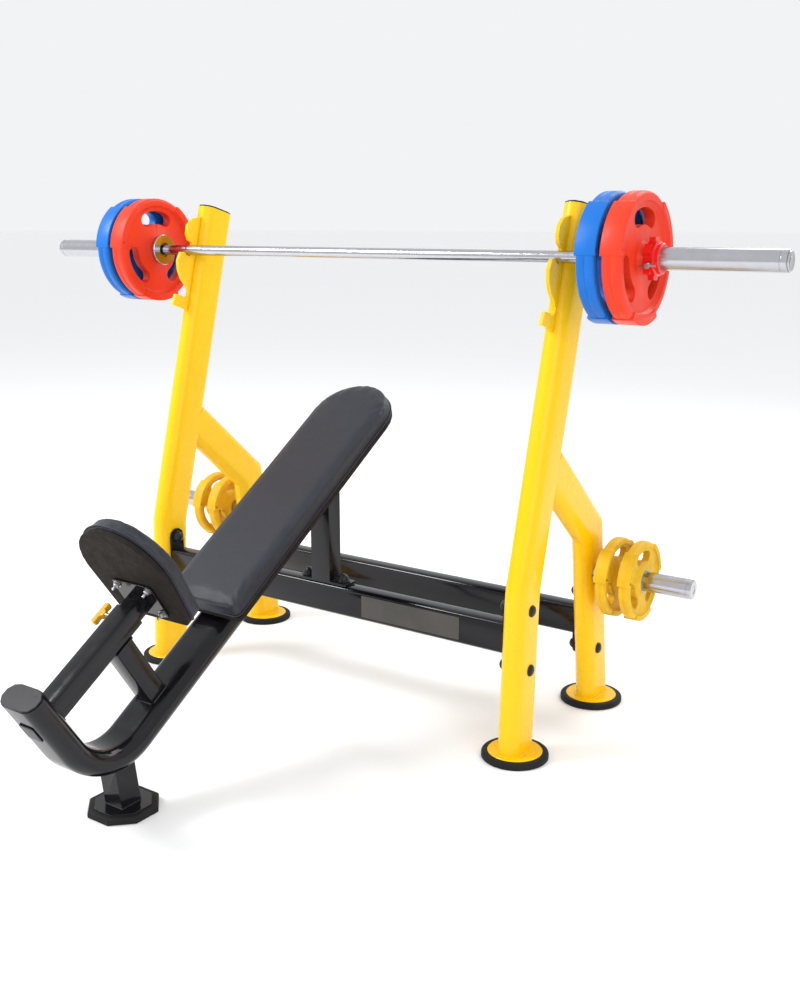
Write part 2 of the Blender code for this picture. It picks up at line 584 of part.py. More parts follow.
def build():
    big = plate_mesh("big_plate", bore=SLEEVE_RADIUS + 0.0006, paint=RED, **BIG_PLATE)
    small = plate_mesh("small_plate", bore=SLEEVE_RADIUS + 0.0006, paint=AMBER, **SMALL_PLATE)
    for side, hand in (("left", -1), ("right", 1)):
        make_uprights(side, hand)
        prism("hook_plate_" + side, [hook_outline()], 0.010, at(hand * UPRIGHT_X) @ AS_YZ, YELLOW)
        make_storage(small, side, hand)
    make_feet()
    make_rails()
    make_post()
    make_spine()
    make_back()
    make_seat()
    make_knob()
    make_barbell(big)


build()
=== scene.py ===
"""Looks of the incline olympic bench press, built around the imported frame. Metres, +Z up.

Parts of the bench use slope coordinates: X across, c up along the backrest and m square to it. The slope
starts on the floor at the uprights' heels and leans back by TILT.
"""

import json
import math

import bmesh
import bpy
from mathutils import Matrix, Vector


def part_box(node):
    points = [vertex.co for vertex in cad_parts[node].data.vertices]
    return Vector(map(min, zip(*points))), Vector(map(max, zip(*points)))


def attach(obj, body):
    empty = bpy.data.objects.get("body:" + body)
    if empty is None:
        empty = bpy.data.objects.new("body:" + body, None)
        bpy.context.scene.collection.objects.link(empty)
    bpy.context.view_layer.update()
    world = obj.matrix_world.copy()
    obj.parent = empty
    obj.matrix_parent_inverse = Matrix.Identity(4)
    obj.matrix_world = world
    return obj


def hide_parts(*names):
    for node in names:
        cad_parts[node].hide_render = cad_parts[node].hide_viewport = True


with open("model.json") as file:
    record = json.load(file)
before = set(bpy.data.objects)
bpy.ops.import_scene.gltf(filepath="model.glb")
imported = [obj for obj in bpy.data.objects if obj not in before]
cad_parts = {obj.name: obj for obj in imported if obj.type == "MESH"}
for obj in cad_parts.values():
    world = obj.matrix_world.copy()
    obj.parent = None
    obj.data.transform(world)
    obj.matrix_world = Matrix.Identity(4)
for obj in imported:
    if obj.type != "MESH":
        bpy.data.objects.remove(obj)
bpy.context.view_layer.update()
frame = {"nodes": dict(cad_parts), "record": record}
scene = bpy.context.scene

SLOTS = {entry["node"]: entry["material_slot"] for entry in frame["record"]["subparts"]}
BODIES = {node: body for body, nodes in frame["record"]["behaviour"]["bodies"].items() for node in nodes}
SIDES = (("left", -1), ("right", 1))


# ---------------------------------------------------------------- places read from the frame

def centre(node):
    low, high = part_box(node)
    return (low + high) / 2


UPRIGHT_X = centre("main_foot_right").x
HEEL_Y = centre("main_foot_right").y
REAR_Y = centre("rear_foot_right").y
FRONT_Y = centre("front_foot").y
BAR = centre("bar_shaft")
BAR_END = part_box("bar_shaft")[1].x
HORN = centre("storage_horn_right")

# ---------------------------------------------------------------- sizes that repeat the frame's

TILT = math.radians(32.4)

# Oval tube of the uprights, rear legs and spine: half of its flat, and the radius of its ends
OVAL_FLAT = 0.025
OVAL_RADIUS = 0.0286

# Upright and rear leg, (y, z) from the heel
LEG_START = 0.0181
LEG_LEVEL = 0.028
KNEE = (0.018, 0.41)
KNEE_BEND = 0.15
TOP = (0.252, 1.278)
ELBOW = (0.3535, 0.488)
BRACE_END = (0.120, 0.692)

# Foot plates and the rubber cups under them
PLATE_RADIUS = 0.066
PLATE_TOP = 0.018
PLATE_LOW = 0.0103
CUP_RADIUS = 0.081
CUP_INNER = 0.0663
CUP_HEIGHT = 0.016
CUP_FLOOR = 0.010

# Spine, seat tube and strut, on the slope
SPINE_M = 0.500
SPINE_END = 0.360
SPINE_BEND = 0.130
TIP_C = -0.616
TIP_M = 0.795
SEAT_TUBE_M = 0.722
SEAT_TUBE_HALF = 0.025
STRUT_C = -0.390

# Cushions, on the slope
CUSHION = 0.040
BACK_TOP = 0.596
BACK_START = -0.170
BACK_END = 0.617
BACK_HALF = 0.112
SEAT_FACE = -0.228
SEAT_LOW = 0.655
SEAT_HIGH = 0.925
SEAT_HALF = 0.125
SEAT_THICK = 0.052
SEAT_PLATE = 0.005

# Rails: their end plates, the way from a plate's end to its bolt, and the post's base plate
END_PLATE = 0.006
BOLT_INSET = 0.0225
POST_BASE = 0.006

# Barbell and weight plates
SHAFT_RADIUS = 0.014
SLEEVE_START = 0.670
SLEEVE_END = 1.099
SLEEVE_BORE = 0.0198
SLEEVE_RADIUS = 0.025
SLEEVE_FACE = 1.1028
FLANGE = 0.0135
FLANGE_RADIUS = 0.042
PLATE_BORE = 0.0256
BIG = 0.142
SMALL = 0.100

# From a flat outline (u, v) to world axes: on the YZ plane, or upright facing the seat
AS_YZ = Matrix(((0, 0, 1, 0), (1, 0, 0, 0), (0, 1, 0, 0), (0, 0, 0, 1)))
AS_XZ = Matrix(((1, 0, 0, 0), (0, 0, -1, 0), (0, 1, 0, 0), (0, 0, 0, 1)))
SLOPE = Matrix.Translation((0, HEEL_Y, 0)) @ Matrix.Rotation(TILT, 4, "X")


# ---------------------------------------------------------------- materials

def paint(name, color, rough, metal=0.0, coat=0.0, grain=0.0, grain_scale=900.0, vary=0.0, vary_scale=14.0,
          dark=0.6, rough_vary=0.08, shine=0.5, cells=False):
    """Principled material with mottled colour, broken gloss and a fine bump, pebbled where cells is true."""
    made = bpy.data.materials.new(name)
    made.use_nodes = True
    tree = made.node_tree
    shader = tree.nodes["Principled BSDF"]
    shader.inputs["Metallic"].default_value = metal
    shader.inputs["Coat Weight"].default_value = coat
    shader.inputs["Coat Roughness"].default_value = 0.08
    shader.inputs["Specular IOR Level"].default_value = shine
    where = tree.nodes.new("ShaderNodeTexCoord")

    def noise(scale, detail=4.0):
        node = tree.nodes.new("ShaderNodeTexNoise")
        node.inputs["Scale"].default_value = scale
        node.inputs["Detail"].default_value = detail
        tree.links.new(where.outputs["Object"], node.inputs["Vector"])
        return node.outputs["Fac"]

    def spread(source, low, high, to_low, to_high):
        node = tree.nodes.new("ShaderNodeMapRange")
        for key, value in (("From Min", low), ("From Max", high), ("To Min", to_low), ("To Max", to_high)):
            node.inputs[key].default_value = value
        tree.links.new(source, node.inputs["Value"])
        return node.outputs["Result"]

    shade = tuple(c * dark for c in color)
    tint = tree.nodes.new("ShaderNodeMix")
    tint.data_type = "RGBA"
    tint.inputs[6].default_value = (*color, 1)
    tint.inputs[7].default_value = (*shade, 1)
    tree.links.new(spread(noise(vary_scale), 0.35, 0.7, 0, vary), tint.inputs[0])
    tree.links.new(tint.outputs[2], shader.inputs["Base Color"])
    gloss = spread(noise(vary_scale * 2.5), 0.3, 0.7, max(0.03, rough - rough_vary), rough + rough_vary)
    tree.links.new(gloss, shader.inputs["Roughness"])
    bump = tree.nodes.new("ShaderNodeBump")
    bump.inputs["Strength"].default_value = grain
    bump.inputs["Distance"].default_value = 0.0006
    height = noise(grain_scale, 6.0)
    if cells:
        pebble = tree.nodes.new("ShaderNodeTexVoronoi")
        pebble.feature = "DISTANCE_TO_EDGE"
        pebble.inputs["Scale"].default_value = grain_scale
        tree.links.new(where.outputs["Object"], pebble.inputs["Vector"])
        height = spread(pebble.outputs["Distance"], 0.0, 0.25, 0, 1)
    tree.links.new(height, bump.inputs["Height"])
    tree.links.new(bump.outputs["Normal"], shader.inputs["Normal"])
    return made


LOOKS = {
    "yellow_paint": paint("yellow_powder_coat", (0.96, 0.56, 0.0), 0.26, coat=0.15, grain=0.08,
                          grain_scale=420, vary=0.2, dark=0.88, rough_vary=0.05, shine=0.25),
    "black_paint": paint("black_enamel", (0.006, 0.006, 0.008), 0.15, grain=0.05, grain_scale=300, vary=0.5,
                         dark=0.5, rough_vary=0.04, shine=0.32),
    "chrome": paint("chrome_plate", (0.50, 0.50, 0.53), 0.15, metal=1.0, grain=0.10, grain_scale=700,
                    vary=0.3, dark=0.8, vary_scale=40, rough_vary=0.05),
    "zinc": paint("zinc_plate", (0.42, 0.42, 0.43), 0.33, metal=1.0, grain=0.2, vary=0.5, dark=0.7),
    "vinyl": paint("upholstery_vinyl", (0.015, 0.017, 0.027), 0.40, grain=0.25, grain_scale=850, vary=0.4,
                   dark=0.75, vary_scale=9, shine=0.40, cells=True),
    "board": paint("backing_cloth", (0.020, 0.015, 0.012), 0.75, grain=0.6, grain_scale=500, vary=0.7,
                   dark=0.45, vary_scale=28, shine=0.15),
    "rubber": paint("foot_rubber", (0.012, 0.012, 0.013), 0.62, grain=0.4, grain_scale=600, vary=0.6,
                    dark=0.6, shine=0.2),
    "black_plastic": paint("moulded_black", (0.012, 0.012, 0.014), 0.34, grain=0.2, grain_scale=900,
                           vary=0.3, shine=0.3),
    "yellow_plastic": paint("moulded_yellow", (0.88, 0.46, 0.01), 0.32, coat=0.2, grain=0.1, vary=0.4,
                            dark=0.8),
    "red_urethane": paint("red_urethane", (0.80, 0.040, 0.010), 0.42, grain=0.2, grain_scale=260, vary=0.35,
                          dark=0.80, shine=0.3),
    "blue_urethane": paint("blue_urethane", (0.002, 0.150, 0.58), 0.40, grain=0.2, grain_scale=260,
                           vary=0.35, dark=0.72, shine=0.3),
    "amber_urethane": paint("amber_urethane", (0.80, 0.47, 0.010), 0.50, grain=0.4, grain_scale=180,
                            vary=0.7, dark=0.76, vary_scale=32, shine=0.3),
    "red_plastic": paint("collar_red", (0.78, 0.010, 0.008), 0.26, coat=0.3, grain=0.1, vary=0.3, dark=0.8),
    "bronze": paint("bushing_bronze", (0.55, 0.36, 0.16), 0.38, metal=1.0, grain=0.3, vary=0.6, dark=0.7),
}


# ---------------------------------------------------------------- outlines

def arc(cu, cv, radius, start, end, steps):
    turns = [math.radians(start + (end - start) * i / steps) for i in range(steps + 1)]
    return [(cu + radius * math.cos(t), cv + radius * math.sin(t)) for t in turns]


def stadium(half_flat, radius, steps=20):
    return arc(half_flat, 0, radius, -90, 90, steps) + arc(-half_flat, 0, radius, 90, 270, steps)


def swapped(points):
    return [(v, u) for u, v in points]


def rounded_rect(half_u, half_v, corner, steps=6):
    points = []
    for su, sv, start in ((1, 1, 0), (-1, 1, 90), (-1, -1, 180), (1, -1, 270)):
        points += arc(su * (half_u - corner), sv * (half_v - corner), corner, start, start + 90, steps)
    return points


def fillet(before, corner, after, radius, steps=14):
    """Points of the arc that rounds off a path's corner."""
    corner_at = Vector(corner)
    back = (Vector(before) - corner_at).normalized()
    ahead = (Vector(after) - corner_at).normalized()
    half = back.angle(ahead) / 2
    first = corner_at + back * radius / math.tan(half)
    last = corner_at + ahead * radius / math.tan(half)
    middle = corner_at + (back + ahead).normalized() * (radius / math.sin(half))
    spokes = [(first - middle).lerp(last - middle, i / steps).normalized() for i in range(steps + 1)]
    return [tuple(middle + spoke * radius) for spoke in spokes]


# ---------------------------------------------------------------- modelling tools

def at(x=0.0, y=0.0, z=0.0):
    return Matrix.Translation((x, y, z))


def on_slope(x=0.0, c=0.0, m=0.0):
    return SLOPE @ Matrix.Translation((x, c, m))


def facing(hand):
    """Turns a piece's own Z outward along the barbell."""
    return Matrix.Rotation(hand * math.pi / 2, 4, "Y")


def shaded(mesh, angle=38):
    mesh.shade_smooth()
    mesh.set_sharp_from_angle(angle=math.radians(angle))


def baked(obj):
    """An object's mesh with its modifiers applied."""
    bpy.context.view_layer.update()
    graph = bpy.context.evaluated_depsgraph_get()
    return bpy.data.meshes.new_from_object(obj.evaluated_get(graph))


def apply_modifiers(obj):
    obj.data = baked(obj)
    obj.modifiers.clear()


def linked(name, data):
    obj = bpy.data.objects.new(name, data)
    scene.collection.objects.link(obj)
    return obj


def keep(name, mesh, place, soften=0.0, angle=40):
    """Links a mesh in world space, with its edges rounded."""
    work = bmesh.new()
    work.from_mesh(mesh)
    bmesh.ops.remove_doubles(work, verts=work.verts, dist=1e-6)
    bmesh.ops.recalc_face_normals(work, faces=work.faces)
    work.to_mesh(mesh)
    work.free()
    shaded(mesh)
    obj = linked(name, mesh)
    obj.data.transform(place)
    if soften:
        edge = obj.modifiers.new("soft_edges", "BEVEL")
        edge.width = soften
        edge.segments = 3
        edge.limit_method = "ANGLE"
        edge.angle_limit = math.radians(angle)
        edge.harden_normals = True
    return obj


def keep_baked(name, source, place, soften=0.0):
    """Keeps the mesh of a curve or a turned profile, which is then removed."""
    mesh = baked(source)
    bpy.data.objects.remove(source)
    return keep(name, mesh, place, soften)


def add_poly(curve, points, cyclic):
    """Adds an outline or a path to a curve, without points that repeat the one before."""
    repeats = [math.dist(p, points[i - 1]) < 1e-5 for i, p in enumerate(points)]
    if not cyclic:
        repeats[0] = False
    points = [p for p, repeat in zip(points, repeats) if not repeat]
    spline = curve.splines.new("POLY")
    spline.points.add(len(points) - 1)
    for point, (u, v) in zip(spline.points, points):
        point.co = (u, v, 0, 1)
    spline.use_cyclic_u = cyclic


def prism(name, outlines, thick, place, soften=0.0):
    """A flat piece centred on its outlines' plane; outlines inside others are holes."""
    curve = bpy.data.curves.new(name, "CURVE")
    curve.dimensions = "2D"
    curve.fill_mode = "BOTH"
    curve.extrude = thick / 2
    for outline in outlines:
        add_poly(curve, outline, True)
    return keep_baked(name, linked(name, curve), place, soften)


def sweep(name, path, section, place, cyclic=False, soften=0.0):
    """Sweeps a closed section along a path that lies in its own plane."""
    profile = bpy.data.curves.new(name + "_section", "CURVE")
    profile.dimensions = "2D"
    add_poly(profile, section, True)
    guide = linked(name + "_guide", profile)
    curve = bpy.data.curves.new(name, "CURVE")
    curve.dimensions = "2D"
    curve.bevel_mode = "OBJECT"
    curve.bevel_object = guide
    curve.use_fill_caps = not cyclic
    add_poly(curve, path, cyclic)
    swept = keep_baked(name, linked(name + "_path", curve), place, soften)
    bpy.data.objects.remove(guide)
    return swept


def turned(name, profile, place, steps=64, closed=False, soften=0.0):
    """Turns a profile of (radius, height) points about Z; a closed one leaves a bore."""
    mesh = bpy.data.meshes.new(name)
    count = len(profile)
    edges = [(i, (i + 1) % count) for i in range(count if closed else count - 1)]
    mesh.from_pydata([(r, 0, h) for r, h in profile], edges, [])
    source = linked(name + "_turning", mesh)
    screw = source.modifiers.new("turn", "SCREW")
    screw.steps = steps
    screw.render_steps = steps
    screw.use_merge_vertices = True
    screw.merge_threshold = 0.00001
    return keep_baked(name, source, place, soften)


def combine(obj, other, operation):
    """Cuts another object away or adds it, and removes it."""
    step = obj.modifiers.new("combine", "BOOLEAN")
    step.operation = operation
    step.object = other
    apply_modifiers(obj)
    bpy.data.objects.remove(other)


def dress(obj, look, body, *replaced):
    """Gives a piece its material, its body and the nodes it stands for."""
    obj.data.materials.clear()
    obj.data.materials.append(LOOKS[look])
    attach(obj, body)
    if replaced:
        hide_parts(*replaced)
    return obj


# ---------------------------------------------------------------- uprights, rear legs and feet

def weld_bead(name, outline, place, radius, look):
    """A weld bead along a closed outline, with a ripple in its thickness."""
    mean, ripple, ripple_step = 0.85, 0.25, 2.1
    curve = bpy.data.curves.new(name, "CURVE")
    curve.dimensions = "3D"
    add_poly(curve, outline, True)
    for i, point in enumerate(curve.splines[0].points):
        point.radius = mean + ripple * math.sin(i * ripple_step)
    curve.bevel_depth = radius
    curve.bevel_resolution = 3
    dress(keep_baked(name, linked(name + "_path", curve), place), look, "frame")


def make_upright(side, hand):
    start, level = (0.0, LEG_START), (0.0, LEG_LEVEL)
    path = [start, level] + fillet(level, KNEE, TOP, KNEE_BEND) + [TOP]
    place = at(hand * UPRIGHT_X, HEEL_Y) @ AS_YZ
    tube = sweep("upright_tube_" + side, path, stadium(OVAL_FLAT, OVAL_RADIUS), place, soften=0.0012)
    dress(tube, "yellow_paint", "frame", "upright_" + side)


def make_rear_leg(side, hand):
    """Rear leg with its brace, a little slimmer than the upright it runs into."""
    foot_y = REAR_Y - HEEL_Y
    path = [(foot_y, LEG_START), (foot_y, LEG_LEVEL), ELBOW, BRACE_END]
    section = stadium(OVAL_FLAT, OVAL_RADIUS - 0.0005)
    leg = sweep("rear_leg_tube_" + side, path, section, at(hand * UPRIGHT_X, HEEL_Y) @ AS_YZ)
    dress(leg, "yellow_paint", "frame", "rear_leg_" + side)


def make_foot_plate(name, x, y):
    edge = 0.0015
    profile = [(0, PLATE_TOP), (PLATE_RADIUS - edge, PLATE_TOP), (PLATE_RADIUS, PLATE_TOP - edge),
               (PLATE_RADIUS, PLATE_LOW), (0, PLATE_LOW)]
    dress(turned(name, profile, at(x, y)), "yellow_paint", "frame")


def make_cup(node, x, y, steps=64, turn=0.0):
    """Rubber cup with a rounded lip and a small chamfer at the floor."""
    lip, chamfer = 0.006, 0.002
    profile = [(0, CUP_FLOOR), (CUP_INNER, CUP_FLOOR), (CUP_INNER, CUP_HEIGHT)]
    profile += arc(CUP_RADIUS - lip, CUP_HEIGHT - lip, lip, 90, 0, 6)
    profile += [(CUP_RADIUS, chamfer), (CUP_RADIUS - chamfer, 0), (0, 0)]
    cup = turned(node + "_cup", profile, at(x, y) @ Matrix.Rotation(turn, 4, "Z"), steps)
    dress(cup, "rubber", "frame", node)


def make_legs():
    weld = 0.0028
    outline = swapped(stadium(OVAL_FLAT, OVAL_RADIUS + 0.001, 26))
    for side, hand in SIDES:
        make_upright(side, hand)
        make_rear_leg(side, hand)
        for where, y in (("main", HEEL_Y), ("rear", REAR_Y)):
            x = hand * UPRIGHT_X
            make_foot_plate(f"{where}_foot_plate_{side}", x, y)
            on_plate = at(x, y, PLATE_TOP + 0.0005)
            weld_bead(f"{where}_foot_weld_{side}", outline, on_plate, weld, "yellow_paint")
            make_cup(f"{where}_foot_{side}", x, y)
    make_cup("front_foot", 0, FRONT_Y, 8, math.pi / 8)


# ---------------------------------------------------------------- spine and rails

def make_spine():
    """Bent spine tube, with weld beads where the strut and the seat tube meet it."""
    bend = arc(TIP_C + SPINE_BEND, SPINE_M + SPINE_BEND, SPINE_BEND, 270, 180, 28)
    path = [(SPINE_END, SPINE_M)] + bend + [(TIP_C, TIP_M)]
    section = swapped(stadium(OVAL_FLAT, OVAL_RADIUS))
    spine = sweep("spine_tube", path, section, SLOPE @ AS_YZ, soften=0.001)
    dress(spine, "black_paint", "frame", "spine_beam")
    half = SEAT_TUBE_HALF + 0.0012
    square = rounded_rect(half, half, 0.005, 10)
    strut_foot = on_slope(0, STRUT_C, SPINE_M + OVAL_RADIUS + 0.0005)
    strut_head = on_slope(0, STRUT_C, SEAT_TUBE_M - half)
    tube_root = on_slope(0, TIP_C + OVAL_RADIUS + 0.0008, SEAT_TUBE_M) @ AS_XZ
    weld_bead("strut_weld_low", square, strut_foot, 0.0028, "black_paint")
    weld_bead("strut_weld_high", square, strut_head, 0.0024, "black_paint")
    weld_bead("seat_tube_weld", square, tube_root, 0.0028, "black_paint")


# Nodes whose shape only wants rounded edges, and the radius of those edges
SOFTENED = {
    "front_rail": 0.0015, "rear_rail": 0.0015, "support_post": 0.004, "front_leg": 0.003,
    "seat_tube": 0.0008, "seat_strut": 0.0008, "seat_post": 0.0008, "seat_plate": 0.001,
    "back_bracket_low": 0.001, "back_bracket_high": 0.001, "seat_board": 0.001, "back_board": 0.001,
    "spine_tip_plug": 0.0008, "spine_end_plug": 0.0008, "seat_tube_plug": 0.0006,
    "lock_knob": 0.0012, "lock_screw": 0.0005, "hook_plate_left": 0.0012, "hook_plate_right": 0.0012,
    "upright_plug_left": 0.0008, "upright_plug_right": 0.0008,
    "collar_screw_left": 0.0004, "collar_screw_right": 0.0004,
}


def make_softened():
    """Copies of the frame's faceted nodes with clean flat faces and rounded edges."""
    for node, radius in SOFTENED.items():
        mesh = frame["nodes"][node].data.copy()
        work = bmesh.new()
        work.from_mesh(mesh)
        bmesh.ops.remove_doubles(work, verts=work.verts, dist=1e-5)
        bmesh.ops.dissolve_limit(work, angle_limit=math.radians(1), verts=work.verts, edges=work.edges)
        work.to_mesh(mesh)
        work.free()
        dress(keep(node + "_soft", mesh, at(), radius, 42), SLOTS[node], BODIES[node], node)


def make_plaque():
    """Blank plaque on the front rail."""
    thick = 0.0008
    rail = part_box("front_rail")[0]
    place = at(0.279, rail.y - thick / 2, centre("front_rail").z) @ AS_XZ
    plaque = prism("blank_plaque", [rounded_rect(0.146, 0.0285, 0.002)], thick, place, 0.0002)
    dress(plaque, "zinc", "frame")
    plaque.data.materials.clear()
    plaque.data.materials.append(paint("plaque_face", (0.085, 0.078, 0.070), 0.42, metal=0.3, grain=0.15,
                                       vary=0.6, dark=0.7))


# ---------------------------------------------------------------- bolts and covers

# Profiles of (radius, height)
RAIL_WASHER = [(0, 0.003), (0.0165, 0.003), (0.0172, 0.0022), (0.0172, 0), (0, 0)]
POST_WASHER = [(0, 0.004), (0.016, 0.004), (0.017, 0.003), (0.017, 0), (0, 0)]
SEAT_WASHER = [(0, 0.0015), (0.0095, 0.0015), (0.0095, 0), (0, 0)]
SEAT_BOLT = [(0, 0.017), (0.0028, 0.017), (0.0032, 0.016), (0.0032, 0.0065), (0.0065, 0.0065),
             (0.0068, 0.006), (0.0068, 0.0005), (0.0065, 0), (0, 0)]


def dome(name, place, radius, height, *replaced):
    crown = [(radius * u, height * v) for u, v in arc(0, 0, 1, 90, 0, 8)]
    crown[0] = (0, height)
    profile = crown + [(radius, 0), (0, 0)]
    dress(turned(name, profile, place, 32), "black_plastic", "frame", *replaced)


def washer(name, profile, place, look, body):
    dress(turned(name, profile, place, 32), look, body)


def make_rail_bolts():
    """Domed nut covers inside the rails' end plates, and caps outside the legs where the frame has them."""
    for side, hand in SIDES:
        for rail in ("front", "rear"):
            low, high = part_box(rail + "_rail")
            y = (low.y + high.y) / 2
            for level, z in (("low", low.z + BOLT_INSET), ("high", high.z - BOLT_INSET)):
                spot = f"{rail}_{level}_{side}"
                inner = at(hand * (high.x - END_PLATE), y, z) @ facing(-hand)
                washer("washer_" + spot, RAIL_WASHER, inner, "black_plastic", "frame")
                dome("nut_cover_" + spot, inner @ at(z=RAIL_WASHER[0][1]), 0.015, 0.015)
                cap = "bolt_cap_" + spot
                if cap in frame["nodes"]:
                    cap_low, cap_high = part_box(cap)
                    leg_face = cap_low.x if hand > 0 else cap_high.x
                    dome(cap + "_dome", at(leg_face, y, z) @ facing(hand), 0.0145, 0.008, cap)


def make_post_nuts():
    """Two domed nuts on the support post's base plate."""
    for side, hand in SIDES:
        spot = at(hand * 0.058, centre("front_rail").y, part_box("support_post")[0].z + POST_BASE)
        washer("post_washer_" + side, POST_WASHER, spot, "black_plastic", "frame")
        dome("post_nut_" + side, spot @ at(z=POST_WASHER[0][1]), 0.0135, 0.017)


def make_seat_bolts():
    """Four bolts through the seat plate, their hexagon heads on washers."""
    u, v, middle = 0.046, 0.036, SEAT_TUBE_M + 0.004
    plate_back = SEAT_FACE - SEAT_THICK - 0.0003 - SEAT_PLATE
    into = Matrix.Rotation(math.pi / 2, 4, "X")
    for i, (du, dv) in enumerate(((-u, -v), (u, -v), (-u, v), (u, v))):
        spot = on_slope(du, plate_back, middle + dv) @ into
        washer(f"seat_washer_{i}", SEAT_WASHER, spot, "zinc", "seat")
        bolt = turned(f"seat_bolt_{i}", SEAT_BOLT, spot @ at(z=SEAT_WASHER[0][1]), 6, soften=0.0003)
        dress(bolt, "zinc", "seat")


# ---------------------------------------------------------------- weight plates

def grip_outline(radius, turn):
    """Kidney-shaped hand hole centred on a direction, in degrees."""
    inner, outer, spread = radius * 0.50, radius * 0.76, 24
    corner, middle = (outer - inner) / 2, (outer + inner) / 2
    outline = arc(0, 0, outer, turn - spread, turn + spread, 14)
    last = math.radians(turn + spread)
    outline += arc(middle * math.cos(last), middle * math.sin(last), corner, turn + spread + 15,
                   turn + spread + 165, 10)
    outline += arc(0, 0, inner, turn + spread, turn - spread, 10)
    first = math.radians(turn - spread)
    outline += arc(middle * math.cos(first), middle * math.sin(first), corner, turn - spread - 165,
                   turn - spread - 15, 10)
    return outline


def plate_profile(radius, rim, hub, web):
    """Half profile mirrored about the plate's middle, with a fine parting line round the rim."""
    rim_in, hub_foot, round_edge, parting = radius * 0.86, PLATE_BORE + 0.013, 0.009, 0.0012
    half = [(PLATE_BORE, hub / 2), (PLATE_BORE + 0.006, hub / 2), (PLATE_BORE + 0.008, hub / 2 - 0.002),
            (hub_foot - 0.003, web / 2 + 0.003), (hub_foot, web / 2), (rim_in - 0.006, web / 2),
            (rim_in - 0.001, rim / 2 - 0.003), (rim_in, rim / 2)]
    half += arc(radius - round_edge, rim / 2 - round_edge, round_edge, 90, 0, 6)
    groove = [(radius, parting), (radius - parting, 0.0), (radius, -parting)]
    return half + groove + [(r, -h) for r, h in reversed(half)]


def plate_mesh(name, radius, rim, hub, web):
    """Three-grip plate: a flat web with hand holes, a round-edged rim, and three thicker lands on the rim."""
    plate = turned(name, plate_profile(radius, rim, hub, web), at(), 96, True)
    for turn in (90, 210, 330):
        combine(plate, prism("grip", [grip_outline(radius, turn)], 0.2, at()), "DIFFERENCE")
    land, spread = 0.0025, 27
    for turn in (30, 150, 270):
        band = arc(0, 0, radius + 0.0015, turn - spread, turn + spread, 22)
        band += arc(0, 0, radius * 0.86 + 0.002, turn + spread, turn - spread, 18)
        combine(plate, prism("land", [band], rim + 2 * land, at(), land), "UNION")
    lips = plate.modifiers.new("lips", "BEVEL")
    lips.width = 0.0016
    lips.segments = 2
    lips.limit_method = "ANGLE"
    lips.angle_limit = math.radians(50)
    mesh = baked(plate)
    bpy.data.objects.remove(plate)
    shaded(mesh, 45)
    return mesh


def put_plate(node, mesh, axis):
    """A weight plate on the bar's or the horn's axis, with the steel ring of its hub."""
    middle = centre(node).x
    spot = at(middle, axis.y, axis.z)
    disc = linked(node + "_disc", mesh.copy())
    disc.data.transform(spot @ AS_YZ)
    dress(disc, SLOTS[node], BODIES[node], node)
    reach = (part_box(node)[1].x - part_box(node)[0].x) / 2 + 0.0008
    ring = [(PLATE_BORE + 0.0054, 0), (PLATE_BORE + 0.0044, reach), (PLATE_BORE, reach), (PLATE_BORE, 0)]
    hub = turned(node + "_hub_ring", ring, spot @ facing(1 if middle > 0 else -1), 48, True)
    dress(hub, "zinc", BODIES[node])


def make_plates():
    big = plate_mesh("big_plate", BIG, 0.044, 0.057, 0.026)
    small = plate_mesh("small_plate", SMALL, 0.030, 0.035, 0.018)
    for side, _ in SIDES:
        for spot in ("inner", "outer"):
            put_plate(f"plate_{spot}_{side}", big, BAR)
            put_plate(f"stored_{spot}_{side}", small, HORN)


# ---------------------------------------------------------------- barbell, collars and horns

def make_shaft():
    rod = [(0, BAR_END), (SHAFT_RADIUS, BAR_END), (SHAFT_RADIUS, -BAR_END), (0, -BAR_END)]
    bar = turned("bar_shaft_rod", rod, at(0, BAR.y, BAR.z) @ facing(1), 64, soften=0.001)
    dress(bar, "chrome", "bar", "bar_shaft")


def make_sleeve(side, out):
    """Sleeve tube with its flange and a snap-ring groove near the end."""
    edge, groove, outer, step = 0.0015, 0.0008, SLEEVE_RADIUS, SLEEVE_START + FLANGE
    shell = [(SLEEVE_BORE, SLEEVE_END), (outer - 0.002, SLEEVE_END), (outer, SLEEVE_END - 0.002),
             (outer, SLEEVE_END - 0.012), (outer - groove, SLEEVE_END - 0.0125),
             (outer - groove, SLEEVE_END - 0.0145), (outer, SLEEVE_END - 0.015), (outer, step + 0.003),
             (outer + 0.003, step), (FLANGE_RADIUS - edge, step), (FLANGE_RADIUS, step - edge),
             (FLANGE_RADIUS, SLEEVE_START + edge), (FLANGE_RADIUS - edge, SLEEVE_START),
             (SLEEVE_BORE, SLEEVE_START)]
    tube = turned("sleeve_tube_" + side, shell, out, 72, True)
    dress(tube, "chrome", "sleeve_unit_" + side, "sleeve_" + side)


def make_sleeve_end(side, out):
    """End cap with a raised centre and rim."""
    face, sunk, edge, root = SLEEVE_FACE, SLEEVE_FACE - 0.001, 0.0008, SLEEVE_FACE - 0.0033
    profile = [(0, face), (0.008, face), (0.009, sunk), (0.0165, sunk), (0.018, face), (0.0205, face),
               (0.0212, face - edge), (0.0212, root), (0, root)]
    end = turned("sleeve_end_" + side, profile, out, 64)
    dress(end, "chrome", "sleeve_unit_" + side, "sleeve_cap_" + side)


